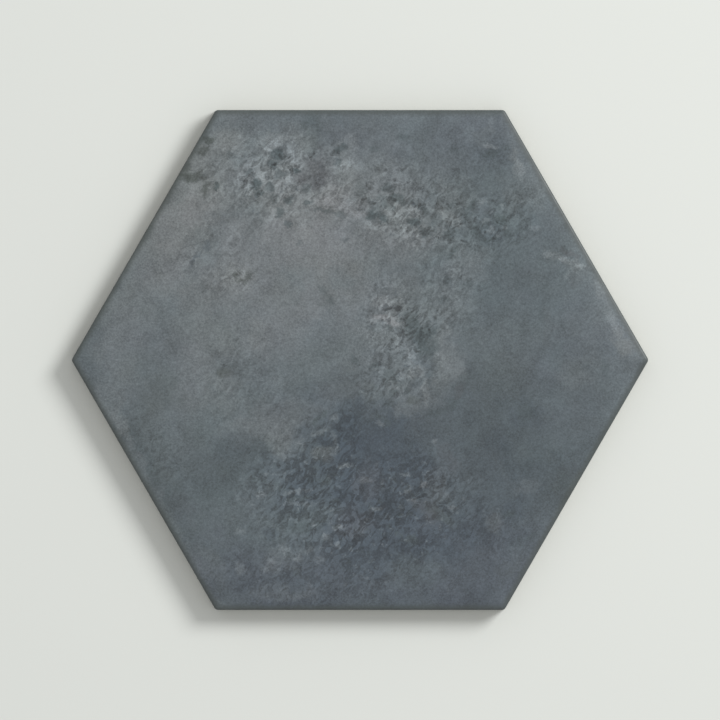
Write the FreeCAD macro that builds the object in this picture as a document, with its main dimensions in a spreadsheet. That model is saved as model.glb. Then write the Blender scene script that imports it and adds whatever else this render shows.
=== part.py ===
import FreeCAD, Part
import math
import os
import Sketcher
from FreeCAD import Vector

# Hexagonal floor tile of pressed and fired stoneware, 175 mm across the flats.
# It lies face up: the back is at z = 0, the face at z = thickness.
# The corners point along +X and -X, the flats along +Y and -Y.
# All lengths are in millimetres and all angles in degrees.

os.makedirs("parts", exist_ok=True)
doc = FreeCAD.newDocument("hexagon_floor_tile")

# Driving sizes
sizes = doc.addObject("Spreadsheet::Sheet", "Sizes")
DRIVING = {
    "across_flats": 175.0,
    "thickness": 9.0,
    "corner_radius": 1.5,
    "cushion_width": 9.0,
    "cushion_fall": 1.0,
    "arris_radius": 0.9,
    "back_chamfer": 0.8,
    "border_width": 6.0,
    "cell_width": 22.5,
    "rib_width": 3.0,
    "recess_depth": 0.8,
    "recess_draft": 20.0,
    "cell_corner_radius": 2.0,
}
for row, (word, value) in enumerate(DRIVING.items(), 1):
    sizes.set("A" + str(row), word)
    sizes.set("B" + str(row), str(value))
    sizes.setAlias("B" + str(row), word)
doc.recompute()

# How far the blank stands outside the finished sides, and the cutting section past the blank
blank_margin = 4.0
cut_margin = 2.0

body = doc.addObject("PartDesign::Body", "HexagonTile")
body.Label = "hexagon_tile"
doc.recompute()
planes = {feature.Role: feature for feature in body.Origin.OriginFeatures}


def sketch_on(plane, name):
    """A sketch of the tile's body on one of its origin planes."""
    sketch = body.newObject("Sketcher::SketchObject", name)
    sketch.AttachmentSupport = [(planes[plane], "")]
    sketch.MapMode = "FlatFace"
    return sketch


def fix(sketch, *terms):
    """A constraint without a size."""
    return sketch.addConstraint(Sketcher.Constraint(*terms))


def size(sketch, name, formula, *terms):
    """A named constraint whose value follows a formula of the driving sizes."""
    index = fix(sketch, *terms)
    sketch.renameConstraint(index, name)
    sketch.setExpression("Constraints." + name, formula)
    return index


def polar(radius, degrees, centre=Vector(0, 0, 0)):
    """The point at a radius and an angle from a centre in the sketch plane."""
    turn = math.radians(degrees)
    return centre + Vector(radius * math.cos(turn), radius * math.sin(turn), 0)


def arc(centre, radius, start, end):
    """A counterclockwise arc between two angles in degrees."""
    circle = Part.Circle(centre, Vector(0, 0, 1), radius)
    return Part.ArcOfCircle(circle, math.radians(start), math.radians(end))


# The pressed blank: a plain hexagonal slab with its corners on a circle about the origin
blank_radius = (sizes.across_flats / 2 + blank_margin) / math.cos(math.radians(30))
blank_corners = [polar(blank_radius, 60 * side) for side in range(6)]
outline = sketch_on("XY_Plane", "BlankOutline")
for side in range(6):
    outline.addGeometry(Part.LineSegment(blank_corners[side], blank_corners[(side + 1) % 6]), False)
corner_circle = outline.addGeometry(Part.Circle(Vector(0, 0, 0), Vector(0, 0, 1), blank_radius), True)
for side in range(6):
    fix(outline, "Coincident", side, 2, (side + 1) % 6, 1)
    fix(outline, "PointOnObject", side, 1, corner_circle)
for side in range(5):
    fix(outline, "Equal", side, side + 1)
fix(outline, "Coincident", corner_circle, 3, -1, 1)
fix(outline, "PointOnObject", 0, 1, -1)
blank_formula = "(Sizes.across_flats / 2 + " + str(blank_margin) + ") / cos(30 deg)"
size(outline, "corner_circle", blank_formula, "Radius", corner_circle, blank_radius)
slab = body.newObject("PartDesign::Pad", "Slab")
slab.Profile = outline
slab.setExpression("Length", "Sizes.thickness")
doc.recompute()

# The section of one side, cut along the whole side: the face falls away on a wide soft cushion
# and turns over a small round arris into the upright side.
half_flats = sizes.across_flats / 2
face_end = half_flats - sizes.cushion_width
cushion_radius = (sizes.cushion_width ** 2 + sizes.cushion_fall ** 2) / (2 * sizes.cushion_fall)
cushion_centre = Vector(face_end, sizes.thickness - cushion_radius, 0)
arris_reach = half_flats - sizes.arris_radius - face_end
arris_height = math.sqrt((cushion_radius - sizes.arris_radius) ** 2 - arris_reach ** 2)
arris_centre = cushion_centre + Vector(arris_reach, arris_height, 0)
meeting_angle = math.degrees(math.atan2(arris_height, arris_reach))
side_top = arris_centre + Vector(sizes.arris_radius, 0, 0)
outer = half_flats + blank_margin + cut_margin
above = sizes.thickness + cut_margin

section = sketch_on("YZ_Plane", "SideSection")
cushion = section.addGeometry(arc(cushion_centre, cushion_radius, meeting_angle, 90), False)
arris = section.addGeometry(arc(arris_centre, sizes.arris_radius, 0, meeting_angle), False)
loop = [
    side_top,
    Vector(half_flats, -cut_margin, 0),
    Vector(outer, -cut_margin, 0),
    Vector(outer, above, 0),
    Vector(face_end, above, 0),
    Vector(face_end, sizes.thickness, 0),
]
lines = []
for start, end in zip(loop, loop[1:]):
    lines.append(section.addGeometry(Part.LineSegment(start, end), False))
upright, floor_line, outer_line, top_line, drop = lines
fix(section, "Tangent", cushion, 1, arris, 2)
fix(section, "Tangent", arris, 1, upright, 1)
for first, second in zip(lines, lines[1:]):
    fix(section, "Coincident", first, 2, second, 1)
fix(section, "Coincident", drop, 2, cushion, 2)
for line in (upright, outer_line, drop):
    fix(section, "Vertical", line)
for line in (floor_line, top_line):
    fix(section, "Horizontal", line)
fix(section, "Vertical", cushion, 3, cushion, 2)
size(section, "face_end", "Sizes.across_flats / 2 - Sizes.cushion_width",
     "DistanceX", -1, 1, cushion, 2, face_end)
size(section, "face_height", "Sizes.thickness", "DistanceY", -1, 1, cushion, 2, sizes.thickness)
size(section, "cushion_radius",
     "(Sizes.cushion_width ^ 2 + Sizes.cushion_fall ^ 2) / (2 * Sizes.cushion_fall)",
     "Radius", cushion, cushion_radius)
size(section, "arris_radius", "Sizes.arris_radius", "Radius", arris, sizes.arris_radius)
size(section, "half_flats", "Sizes.across_flats / 2", "DistanceX", -1, 1, upright, 1, half_flats)
size(section, "outer", "Sizes.across_flats / 2 + " + str(blank_margin + cut_margin),
     "DistanceX", -1, 1, floor_line, 2, outer)
size(section, "below", str(cut_margin), "DistanceY", floor_line, 1, -1, 1, cut_margin)
size(section, "above", str(cut_margin), "DistanceY", drop, 2, drop, 1, cut_margin)

side_cut = body.newObject("PartDesign::Pocket", "SideCut")
side_cut.Profile = section
side_cut.Type = "ThroughAll"
side_cut.Midplane = True
doc.recompute()
one_side_removed = slab.Shape.Volume - side_cut.Shape.Volume

# The same section on all six sides; the cushions meet in a mitre at each corner
six_sides = body.newObject("PartDesign::PolarPattern", "SixSides")
six_sides.Originals = [side_cut]
six_sides.Axis = (outline, ["N_Axis"])
six_sides.Angle = 360
six_sides.Occurrences = 6
body.Tip = six_sides
doc.recompute()
all_sides_removed = slab.Shape.Volume - six_sides.Shape.Volume


def corner_edges(shape):
    """The upright edges and arris mitres at the six corners; the rounding runs on over the hips."""
    names = []
    for number, edge in enumerate(shape.Edges, 1):
        ends = [vertex.Point for vertex in edge.Vertexes]
        turns = [math.degrees(math.atan2(end.y, end.x)) / 60 for end in ends]
        on_corners = all(abs(turn - round(turn)) < 0.001 for turn in turns)
        same_corner = len({round(turn) % 6 for turn in turns}) == 1
        below_hip = min(end.z for end in ends) < side_top.y + 0.01
        if len(ends) == 2 and on_corners and same_corner and below_hip:
            names.append("Edge" + str(number))
    return names


# Slightly rounded corners
rounding = body.newObject("PartDesign::Fillet", "CornerRounding")
rounding.Base = (six_sides, corner_edges(six_sides.Shape))
rounding.setExpression("Radius", "Sizes.corner_radius")
doc.recompute()


def back_outline(shape):
    """The edges that run round the back, where every point is at z = 0."""
    names = []
    for number, edge in enumerate(shape.Edges, 1):
        if abs(edge.BoundBox.ZMin) < 0.001 and abs(edge.BoundBox.ZMax) < 0.001:
            names.append("Edge" + str(number))
    return names


# The sharp edge round the back is broken by a chamfer
back_break = body.newObject("PartDesign::Chamfer", "BackChamfer")
back_break.Base = (rounding, back_outline(rounding.Shape))
back_break.setExpression("Size", "Sizes.back_chamfer")
doc.recompute()

# The back is pressed with shallow hexagonal cells that key it into the adhesive.
# Ribs of equal width part the cells, and a plain border runs round them.
pitch = sizes.cell_width + sizes.rib_width
pitch_formula = "(Sizes.cell_width + Sizes.rib_width)"
cell_reach = sizes.cell_width / 2 / math.cos(math.radians(30))
rings_formula = (
    "floor((Sizes.across_flats / 2 - Sizes.back_chamfer - Sizes.border_width"
    " - Sizes.cell_width / 2 / cos(30 deg)) / (" + pitch_formula + " * sin(60 deg)))"
)
room = half_flats - sizes.back_chamfer - sizes.border_width - cell_reach
rings = math.floor(room / (pitch * math.sin(math.radians(60))))


def cell_sketch(name, centre_x, centre_formula):
    """A round-cornered hexagon with two upright sides, its centre on the X axis."""
    sketch = sketch_on("XY_Plane", name)
    centre = Vector(centre_x, 0, 0)
    corner = sizes.cell_corner_radius
    trim = corner * math.tan(math.radians(30))
    vertices = [polar(cell_reach, 30 + 60 * side, centre) for side in range(6)]
    sides = []
    corners = []
    for index in range(6):
        start = vertices[index]
        end = vertices[(index + 1) % 6]
        along = (end - start).normalize() * trim
        sides.append(sketch.addGeometry(Part.LineSegment(start + along, end - along), False))
    for index in range(6):
        turn = 90 + 60 * index
        middle = polar(cell_reach - corner / math.cos(math.radians(30)), turn, centre)
        corners.append(sketch.addGeometry(arc(middle, corner, turn - 30, turn + 30), False))
    for index in range(6):
        fix(sketch, "Tangent", sides[index], 2, corners[index], 1)
        fix(sketch, "Tangent", corners[index], 2, sides[(index + 1) % 6], 1)
    for index in range(5):
        fix(sketch, "Equal", corners[index], corners[index + 1])
    inner_circle = sketch.addGeometry(Part.Circle(centre, Vector(0, 0, 1), sizes.cell_width / 2), True)
    for line in sides:
        fix(sketch, "Tangent", line, inner_circle)
    fix(sketch, "Vertical", sides[2])
    fix(sketch, "Vertical", sides[5])
    for index, degrees in ((0, 150), (1, -150), (3, -30), (4, 30)):
        fix(sketch, "Angle", sides[index], math.radians(degrees))
    if centre_formula:
        fix(sketch, "PointOnObject", inner_circle, 3, -1)
        size(sketch, "centre", centre_formula, "DistanceX", -1, 1, inner_circle, 3, centre_x)
    else:
        fix(sketch, "Coincident", inner_circle, 3, -1, 1)
    size(sketch, "half_width", "Sizes.cell_width / 2", "Radius", inner_circle, sizes.cell_width / 2)
    size(sketch, "corner", "Sizes.cell_corner_radius", "Radius", corners[0], corner)
    return sketch


def recess(name, sketch):
    """A shallow pocket from the back, narrowing upwards so that it leaves the press."""
    pocket = body.newObject("PartDesign::Pocket", name)
    pocket.Profile = sketch
    pocket.Reversed = True
    pocket.setExpression("Length", "Sizes.recess_depth")
    pocket.setExpression("TaperAngle", "-Sizes.recess_draft")
    doc.recompute()
    return pocket


middle_cell = recess("MiddleCell", cell_sketch("MiddleCellOutline", 0, ""))
one_cell_removed = back_break.Shape.Volume - middle_cell.Shape.Volume

# Every other cell lies in one of three equal fields: rows along X, stepped along a line
# at 120 degrees, and the field turned twice about the middle
field_outline = cell_sketch("FieldCellOutline", pitch, pitch_formula)
step_line = field_outline.addGeometry(Part.LineSegment(Vector(0, 0, 0), polar(pitch, 120)), True)
fix(field_outline, "Coincident", step_line, 1, -1, 1)
fix(field_outline, "Angle", step_line, math.radians(120))
size(field_outline, "step", pitch_formula, "Distance", step_line, pitch)
field_cell = recess("FieldCell", field_outline)

honeycomb = body.newObject("PartDesign::MultiTransform", "Honeycomb")
honeycomb.Originals = [field_cell]
along_row = body.newObject("PartDesign::LinearPattern", "AlongRow")
along_row.Direction = (field_outline, ["H_Axis"])
rows = body.newObject("PartDesign::LinearPattern", "Rows")
rows.Direction = (field_outline, ["Axis0"])
for pattern in (along_row, rows):
    pattern.Mode = "Spacing"
    pattern.setExpression("Offset", pitch_formula)
along_row.setExpression("Occurrences", rings_formula)
rows.setExpression("Occurrences", rings_formula + " + 1")
three_fields = body.newObject("PartDesign::PolarPattern", "ThreeFields")
three_fields.Axis = (field_outline, ["N_Axis"])
three_fields.Angle = 360
three_fields.Occurrences = 3
honeycomb.Transformations = [along_row, rows, three_fields]
body.Tip = honeycomb
body.Placement = FreeCAD.Placement()
doc.recompute()

# Nothing is written unless every feature and the solid are sound
for item in doc.Objects:
    for fault in ("Invalid", "Error"):
        if fault in item.State:
            raise RuntimeError(item.Name + " is " + fault)
for sketch in (outline, section, field_outline):
    if not sketch.FullyConstrained:
        raise RuntimeError(sketch.Name + " is not fully constrained")
shape = body.Shape
if shape.isNull() or not shape.isValid() or len(shape.Solids) != 1:
    raise RuntimeError("the tile is not one valid solid")
if one_side_removed <= 0 or all_sides_removed <= one_side_removed:
    raise RuntimeError("the side section cuts nothing")
cells = 3 * rings * (rings + 1) + 1
cells_removed = back_break.Shape.Volume - shape.Volume
if one_cell_removed <= 0 or abs(cells_removed - cells * one_cell_removed) > 1:
    raise RuntimeError("the cells of the back are not all cut")
box = shape.optimalBoundingBox(False, False)
if abs(box.YLength - sizes.across_flats) > 0.01 or abs(box.ZLength - sizes.thickness) > 0.01:
    raise RuntimeError("the tile has the wrong size")
shape.exportStep("parts/" + body.Label + ".step")
print(body.Label, "volume", round(shape.Volume), "faces", len(shape.Faces), "cells", cells)
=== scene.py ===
import math
import bpy
from bpy.props import FloatProperty, FloatVectorProperty, IntProperty, PointerProperty
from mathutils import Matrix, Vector


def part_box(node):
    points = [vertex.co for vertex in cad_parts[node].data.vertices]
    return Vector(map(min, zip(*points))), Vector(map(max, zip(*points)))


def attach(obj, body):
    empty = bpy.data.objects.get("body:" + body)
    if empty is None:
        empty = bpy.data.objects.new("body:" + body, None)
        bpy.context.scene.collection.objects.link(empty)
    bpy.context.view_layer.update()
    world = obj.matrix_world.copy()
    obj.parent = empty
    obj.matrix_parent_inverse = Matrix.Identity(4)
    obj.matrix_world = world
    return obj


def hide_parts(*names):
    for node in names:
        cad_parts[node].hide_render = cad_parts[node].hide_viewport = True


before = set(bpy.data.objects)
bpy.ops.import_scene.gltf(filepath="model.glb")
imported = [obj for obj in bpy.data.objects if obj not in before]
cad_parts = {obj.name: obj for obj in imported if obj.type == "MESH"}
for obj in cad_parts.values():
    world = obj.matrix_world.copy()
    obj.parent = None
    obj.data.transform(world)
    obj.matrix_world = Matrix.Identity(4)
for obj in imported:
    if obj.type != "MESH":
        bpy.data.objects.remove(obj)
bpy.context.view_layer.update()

bl_info = {
    "name": "Hexagon Floor Tile",
    "version": (1, 0, 0),
    "blender": (4, 5, 0),
    "location": "3D View > Sidebar > Tile",
    "description": "Models and glazes one hexagonal stoneware floor tile and sets it out for a picture",
    "category": "Object",
}

NODE = "hexagon_tile"
LOW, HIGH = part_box(NODE)
MM = 0.001


class TileSizes(bpy.types.PropertyGroup):
    """The tile's own sizes, the same as its solid's."""

    across_flats: FloatProperty(
        name="Across Flats", description="Width between two flat sides",
        default=HIGH.y - LOW.y, unit="LENGTH",
    )
    thickness: FloatProperty(
        name="Thickness", description="Height of the face above the back",
        default=HIGH.z - LOW.z, unit="LENGTH",
    )
    corner_radius: FloatProperty(
        name="Corner Radius", description="Rounding of the six upright corners",
        default=1.5 * MM, unit="LENGTH",
    )
    cushion_width: FloatProperty(
        name="Cushion Width", description="How far in from each side the face begins to fall",
        default=9.0 * MM, unit="LENGTH",
    )
    cushion_fall: FloatProperty(
        name="Cushion Fall", description="How far the face would fall by the side",
        default=1.0 * MM, unit="LENGTH",
    )
    arris_radius: FloatProperty(
        name="Arris Radius", description="Rounding between the cushion and the side",
        default=0.9 * MM, unit="LENGTH",
    )
    back_chamfer: FloatProperty(
        name="Back Chamfer", description="Chamfer round the back",
        default=0.8 * MM, unit="LENGTH",
    )
    border_width: FloatProperty(
        name="Border Width", description="Least plain border round the cells of the back",
        default=6.0 * MM, unit="LENGTH",
    )
    cell_width: FloatProperty(
        name="Cell Width", description="Width of a recess of the back across its flats",
        default=22.5 * MM, unit="LENGTH",
    )
    rib_width: FloatProperty(
        name="Rib Width", description="Width of the ribs between the recesses",
        default=3.0 * MM, unit="LENGTH",
    )
    recess_depth: FloatProperty(
        name="Recess Depth", description="Depth of a recess of the back",
        default=0.8 * MM, unit="LENGTH",
    )
    recess_draft: FloatProperty(
        name="Recess Draft", description="Slope of the walls of a recess",
        default=math.radians(20), subtype="ANGLE",
    )
    cell_corner_radius: FloatProperty(
        name="Cell Corner Radius", description="Rounding of a recess's corners",
        default=2.0 * MM, unit="LENGTH",
    )
    face_bands: IntProperty(
        name="Face Bands", description="Bands of facets from the middle of the face to each side",
        default=8, min=2, max=8,
    )
    band_rows: IntProperty(
        name="Rows in a Band", description="Rows of facets in each band of the face",
        default=14, min=2, max=14,
    )
    wave_depth: FloatProperty(
        name="Wave Depth", description="Depth of the slow waves left in the face by the press",
        default=0.12 * MM, unit="LENGTH",
    )
    dimple_depth: FloatProperty(
        name="Dimple Depth", description="Depth of the dimples in the face",
        default=0.10 * MM, unit="LENGTH",
    )


class GlazeColours(bpy.types.PropertyGroup):
    """The colours of the glaze and of the fired body."""

    slate: FloatVectorProperty(
        name="Slate", description="The glaze's main blue-grey",
        default=(0.092, 0.1125, 0.1225), subtype="COLOR", min=0, max=1,
    )
    warm: FloatVectorProperty(
        name="Warm Haze", description="Pale warm grey clouds",
        default=(0.142, 0.155, 0.161), subtype="COLOR", min=0, max=1,
    )
    sand: FloatVectorProperty(
        name="Sand", description="Faint sandy tone along worn edges",
        default=(0.136, 0.150, 0.149), subtype="COLOR", min=0, max=1,
    )
    pale: FloatVectorProperty(
        name="Pale Bloom", description="The lightest bloom",
        default=(0.190, 0.210, 0.214), subtype="COLOR", min=0, max=1,
    )
    green: FloatVectorProperty(
        name="Green Grey", description="Dark green-grey stains",
        default=(0.050, 0.066, 0.071), subtype="COLOR", min=0, max=1,
    )
    navy: FloatVectorProperty(
        name="Navy", description="The deepest blue stains",
        default=(0.038, 0.052, 0.067), subtype="COLOR", min=0, max=1,
    )
    violet: FloatVectorProperty(
        name="Violet Grey", description="Violet-grey clouds",
        default=(0.066, 0.079, 0.095), subtype="COLOR", min=0, max=1,
    )
    teal: FloatVectorProperty(
        name="Teal Grey", description="Blue-green grey clouds",
        default=(0.075, 0.096, 0.105), subtype="COLOR", min=0, max=1,
    )
    # Umber also darkens the arris, partly as a thinner glaze and partly as painted shade.
    umber: FloatVectorProperty(
        name="Umber", description="Brownish dark specks and edges",
        default=(0.044, 0.053, 0.048), subtype="COLOR", min=0, max=1,
    )
    plum: FloatVectorProperty(
        name="Plum Grey", description="The dark patch with a breath of violet",
        default=(0.060, 0.064, 0.070), subtype="COLOR", min=0, max=1,
    )
    rose: FloatVectorProperty(
        name="Rose Grey", description="Pale dabs with a breath of pink",
        default=(0.176, 0.185, 0.191), subtype="COLOR", min=0, max=1,
    )
    bright: FloatVectorProperty(
        name="Bright Flecks", description="Chalky flecks and rims",
        default=(0.240, 0.272, 0.286), subtype="COLOR", min=0, max=1,
    )
    soot: FloatVectorProperty(
        name="Soot", description="The few nearly black marks",
        default=(0.022, 0.026, 0.030), subtype="COLOR", min=0, max=1,
    )
    body: FloatVectorProperty(
        name="Body", description="The bare fired body of the sides and back",
        default=(0.305, 0.288, 0.256), subtype="COLOR", min=0, max=1,
    )
    body_spot: FloatVectorProperty(
        name="Body Spots", description="Dark mineral spots in the fired body",
        default=(0.120, 0.105, 0.088), subtype="COLOR", min=0, max=1,
    )
    kiln_wash: FloatVectorProperty(
        name="Kiln Wash", description="White wash that the kiln's rollers leave on the ribs of the back",
        default=(0.560, 0.550, 0.520), subtype="COLOR", min=0, max=1,
    )


class StageLook(bpy.types.PropertyGroup):
    """The floor, the light and the camera."""

    floor_colour: FloatVectorProperty(
        name="Floor", description="Colour of the plain pale floor",
        default=(0.635, 0.652, 0.620), subtype="COLOR", min=0, max=1,
    )
    floor_width: FloatProperty(
        name="Floor Width", description="Width of the floor", default=6.0, unit="LENGTH",
    )
    fill: FloatProperty(
        name="Fill", description="Strength of the even light from all round", default=0.657,
    )
    key_power: FloatProperty(
        name="Key Power", description="Power of the large soft lamp", default=49.5, unit="POWER",
    )
    key_turn: FloatProperty(
        name="Key Turn", description="Bearing of the lamp, from +X towards +Y",
        default=math.radians(35), subtype="ANGLE",
    )
    key_height: FloatProperty(
        name="Key Height", description="Height of the lamp above the floor, as an angle",
        default=math.radians(38), subtype="ANGLE",
    )
    key_distance: FloatProperty(
        name="Key Distance", description="Distance of the lamp from the tile", default=2.4, unit="LENGTH",
    )
    key_size: FloatProperty(
        name="Key Size", description="Width of the lamp", default=1.05, unit="LENGTH",
    )
    picture_width: FloatProperty(
        name="Picture Width", description="Width of floor in the picture", default=0.252, unit="LENGTH",
    )


# What is spread, dabbed and spotted on the face, colour by colour. Each stain is given one by one: its strength,
# its centre from the middle of the face, half length and half width in millimetres, and the turn of its length from
# +X in degrees.
CLOUDS = {
    "warm": (
        (0.92, -16, 44, 40, 24, 15), (0.64, -48, 34, 30, 22, 60), (0.25, 4, 16, 30, 22, -20),
        (0.45, -50, 10, 34, 16, 10), (0.2, 84, 18, 24, 12, -60),
    ),
    "sand": (
        (0.62, -66, 50, 34, 12, 60),
    ),
    "pale": (
        (0.38, -24, 69, 24, 13, 0),
    ),
    "teal": (
        (0.2, -76, 4, 22, 20, 0), (0.68, -46, -52, 28, 14, 0), (0.7, 52, 38, 28, 32, 20),
    ),
    "green": (
        (0.38, -77, -37, 26, 7, -60), (0.32, -46, -34, 26, 10, 10), (0.55, 52, -20, 28, 18, 0),
        (0.55, 62, -42, 32, 22, 60), (0.35, 68, -28, 24, 16, 60),
    ),
    "violet": (
        (0.85, -26, -78, 44, 12, 0), (0.9, 34, -72, 38, 18, 0), (0.34, 40, 76, 26, 14, 0),
        (0.35, -12, 83, 24, 8, 0), (0.3, 76, -2, 22, 16, -60),
    ),
    "navy": (
        (0.94, 4, -38, 30, 24, -15), (0.9, 8, -60, 28, 18, 0), (0.42, -6, -76, 50, 16, 0),
        (0.5, 42, -42, 32, 24, 20),
    ),
}
DABS = {
    "plum": (
        (0.75, -15.5, 65, 5.5, 5.2, 0), (0.3, 75.5, 30, 3, 4, 0), (0.18, 64, 46, 4, 6, 0), (0.3, 31, -34, 3, 5, 25),
        (0.45, 24, -53, 6, 3, -35), (0.3, 65.5, 12, 2.4, 5, 0), (0.24, -62, -53, 4, 6, 30),
    ),
    "green": (
        (0.55, -17, 80, 2.8, 9, 0), (0.3, -62, 12, 5, 12, -15), (0.24, -46, -4, 6, 4, 0),
        (0.35, -79, -28, 4, 8, 30), (0.7, 19, 11, 5, 3.6, -50), (0.85, 23.5, 5.5, 5.5, 4.5, -50),
        (0.28, 57, -64, 5, 2.5, 30), (0.3, 84, -26, 4, 6, -30), (0.54, 6, 51, 7, 4.5, -20),
        (0.25, 22, 47, 6, 4, -20), (0.12, 38, 50, 8, 5, 10), (0.15, 4, -22, 6, 4, 20), (0.22, -46, -44, 10, 6, 10),
        (0.25, -38, 46, 4, 10, -25), (0.22, -48, 20, 4, 12, -20), (0.46, -37, 77, 7, 2.6, 25),
        (0.4, -43, 72, 2.6, 5, 0), (0.24, -28, 4, 9, 6, -20), (0.32, -80, 1, 6, 10, 0), (0.22, -66, -10, 3, 9, 0),
        (0.22, -5, 83, 6, 2.5, 0), (0.18, 17, 68, 5, 5, 0), (0.2, 38.5, 6, 2.5, 6, 20), (0.3, -32, -2, 6, 3.2, 0),
        (0.3, 1, 14.5, 2.6, 3.2, 0), (0.34, -1, 58, 5, 4, 0), (0.15, -57, 24, 5, 8, 0), (0.24, -2, 47, 4, 4, 0),
        (0.1, -19, 3, 5, 6, 0), (0.2, -43, 49, 4, 4, 0),
    ),
    "rose": (
        (0.65, -9, 57, 7, 4.5, 20), (0.45, -4, 54, 5, 3, -20), (0.25, -66, 46, 5, 9, -30),
        (0.5, -57, 54, 5.5, 8, -30), (0.2, -47, 75, 4, 3, 0), (0.16, -42, 44, 4, 5, -20), (0.18, -46, -8, 5, 3, 0),
        (0.18, 36, 32, 8, 5, 0), (0.18, -18, 17, 5, 4, 0),
    ),
    "warm": (
        (0.45, -20, 47, 6, 4, 20), (0.26, -29, -20, 16, 6, 12), (0.45, 15, 44, 13, 7, -10),
        # The long thin strip along the lower-left cushion (-74.5, -43) is painted light: it lightens that cushion
        # to even out the shade the lamp leaves on it.
        (0.22, -74.5, -43, 46, 2.2, -60), (0.25, -44, 28, 7, 9, 0), (0.14, -6, -10, 9, 5, 0),
        (0.3, -84, 4, 8, 16, 0), (0.34, -27, 16, 10, 14, -20), (0.3, -58, -8, 6, 12, -15), (0.2, -47, -14, 7, 4, 0),
    ),
    "pale": (
        (0.35, -30, 77, 8, 3, 0), (0.3, -46, 76, 7, 4, 0), (0.3, 30, -4, 5, 7.5, -15), (0.22, 19, -13, 9, 5, -15),
        (0.22, 85, 25, 1.8, 6, 30), (0.14, 90, 13, 1.8, 7, 30), (0.35, 15, 52, 6, 4.5, 0), (0.3, 56, 67, 2, 7, 15),
        (0.16, 30, 21, 9, 7, 0), (0.16, 11, 24, 8, 5, 0), (0.14, -22, 67, 5, 5, 0), (0.14, 33, 57, 6, 6, 0),
        (0.14, -60, 12, 12, 8, 0), (0.15, 7, 11, 9, 6, 0), (0.2, -61, 62, 5, 6, 60), (0.26, -22, 76, 6, 5, 0),
        (0.14, 12, 66, 8, 5, 0), (0.25, 72, 35, 5, 1.8, -30), (0.16, 60, 60, 5, 8, 30),
        (0.26, -16, 45.5, 6, 3.5, 0), (0.52, -42.5, 29.5, 5, 4.5, 0), (0.14, -36, -25, 14, 5, 10),
        (0.16, -26, -70, 7, 3.5, 10), (0.16, -27, -82, 12, 2.5, 0), (0.2, -62, 21, 4, 6, 0),
        (0.26, -34.5, 9.5, 3.5, 5, 0), (0.12, 43, 77, 4, 3, 0), (0.24, 54, 58, 4, 5, 0), (0.14, 75, -4, 5, 5, 0),
        (0.3, 10, 20, 6, 5, 0), (0.26, 28, 9, 2.5, 5, 0), (0.44, -12, -33, 4, 3, 0), (0.24, 27, -43.5, 4, 6, 0),
        (0.16, -2, -61, 4, 3, 0), (0.2, -88, -14, 8, 4, -60), (0.22, 15, -17, 4, 3, 0),
        (0.42, -12, 58.5, 5, 2.8, 0), (0.14, 38, 38, 7, 3, 0), (0.28, -27, -29, 5, 6, 0),
        (0.3, -84, -22, 6, 2.4, -60), (0.2, 18, 45, 4, 2.5, 0), (0.12, 57, -44, 4, 3, 0),
    ),
    "sand": (
        (0.55, -57, 70, 6, 3.5, 60), (0.5, 93, 6, 3, 5, 30), (0.18, -52, -72, 8, 4, -60),
    ),
    "teal": (
        (0.3, -53, 41, 6, 3.5, 50), (0.25, -60, 30, 5, 3, 60), (0.28, -68, 14, 2.5, 11, -18),
        (0.4, 50, 60, 10, 8, 0), (0.52, -24, -57, 13, 6, 10), (0.35, 18, -74, 12, 6, 0), (0.25, 66, 14, 5, 12, 0),
        (0.35, -54, 36, 4, 4, 0), (0.5, 68.5, 1, 3, 5, 0), (0.35, 66, -13.5, 5, 3, 0),
    ),
    "slate": (
        (0.5, -23, 28, 5, 5, 0), (0.35, -6, 28, 6, 3, -20),
    ),
    "umber": (
        (0.18, -12, 23, 5, 3, -56), (0.2, -69, -41, 4, 7, 30), (0.25, 72, -44, 4, 6, -30),
        (0.22, 52, -74, 6, 3, 55), (0.24, 12, -5, 6, 6, 0), (0.27, -69, -12, 6, 9, 0), (0.15, -47, -17, 4, 3, 0),
        (0.24, 5, -12, 4, 2.5, 0),
    ),
    "navy": (
        (0.22, -46, -31, 8, 5, 0), (0.18, -34, -36, 8, 5, 0), (0.3, 58, -19, 4.5, 6, 0), (0.28, 48, -29, 6, 3.5, 0),
        (0.25, 38, -50, 5, 5, 0), (0.32, 25, -66, 10, 5, 0), (0.25, 46, 74, 8, 4, 0), (0.36, 36, -58, 11, 8, 0),
        (0.48, -22, -47, 10, 6, 30), (0.45, 22, -41, 9, 6, -20), (0.45, 13, -52, 9, 6, 0), (0.25, 6, -26, 9, 4, 0),
        (0.3, -12, -38, 5, 5, 0), (0.34, 46, 46, 5, 4.5, 0), (0.2, 60, -25, 7, 5, -30), (0.3, 54, -52, 4, 4, 0),
        (0.3, 5, -72.5, 5, 3, 0), (0.22, -38, -80, 6, 3, 0),
    ),
    "violet": (
        (0.22, -56, -56, 8, 6, 0), (0.35, 45, 82, 10, 3, 0), (0.25, 60, 26, 8, 7, 0), (0.6, 2.5, -42, 4.5, 6, 0),
        (0.6, -2, -58, 5, 6, 0), (0.25, 44, 54, 4, 4, 0),
    ),
}
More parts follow.
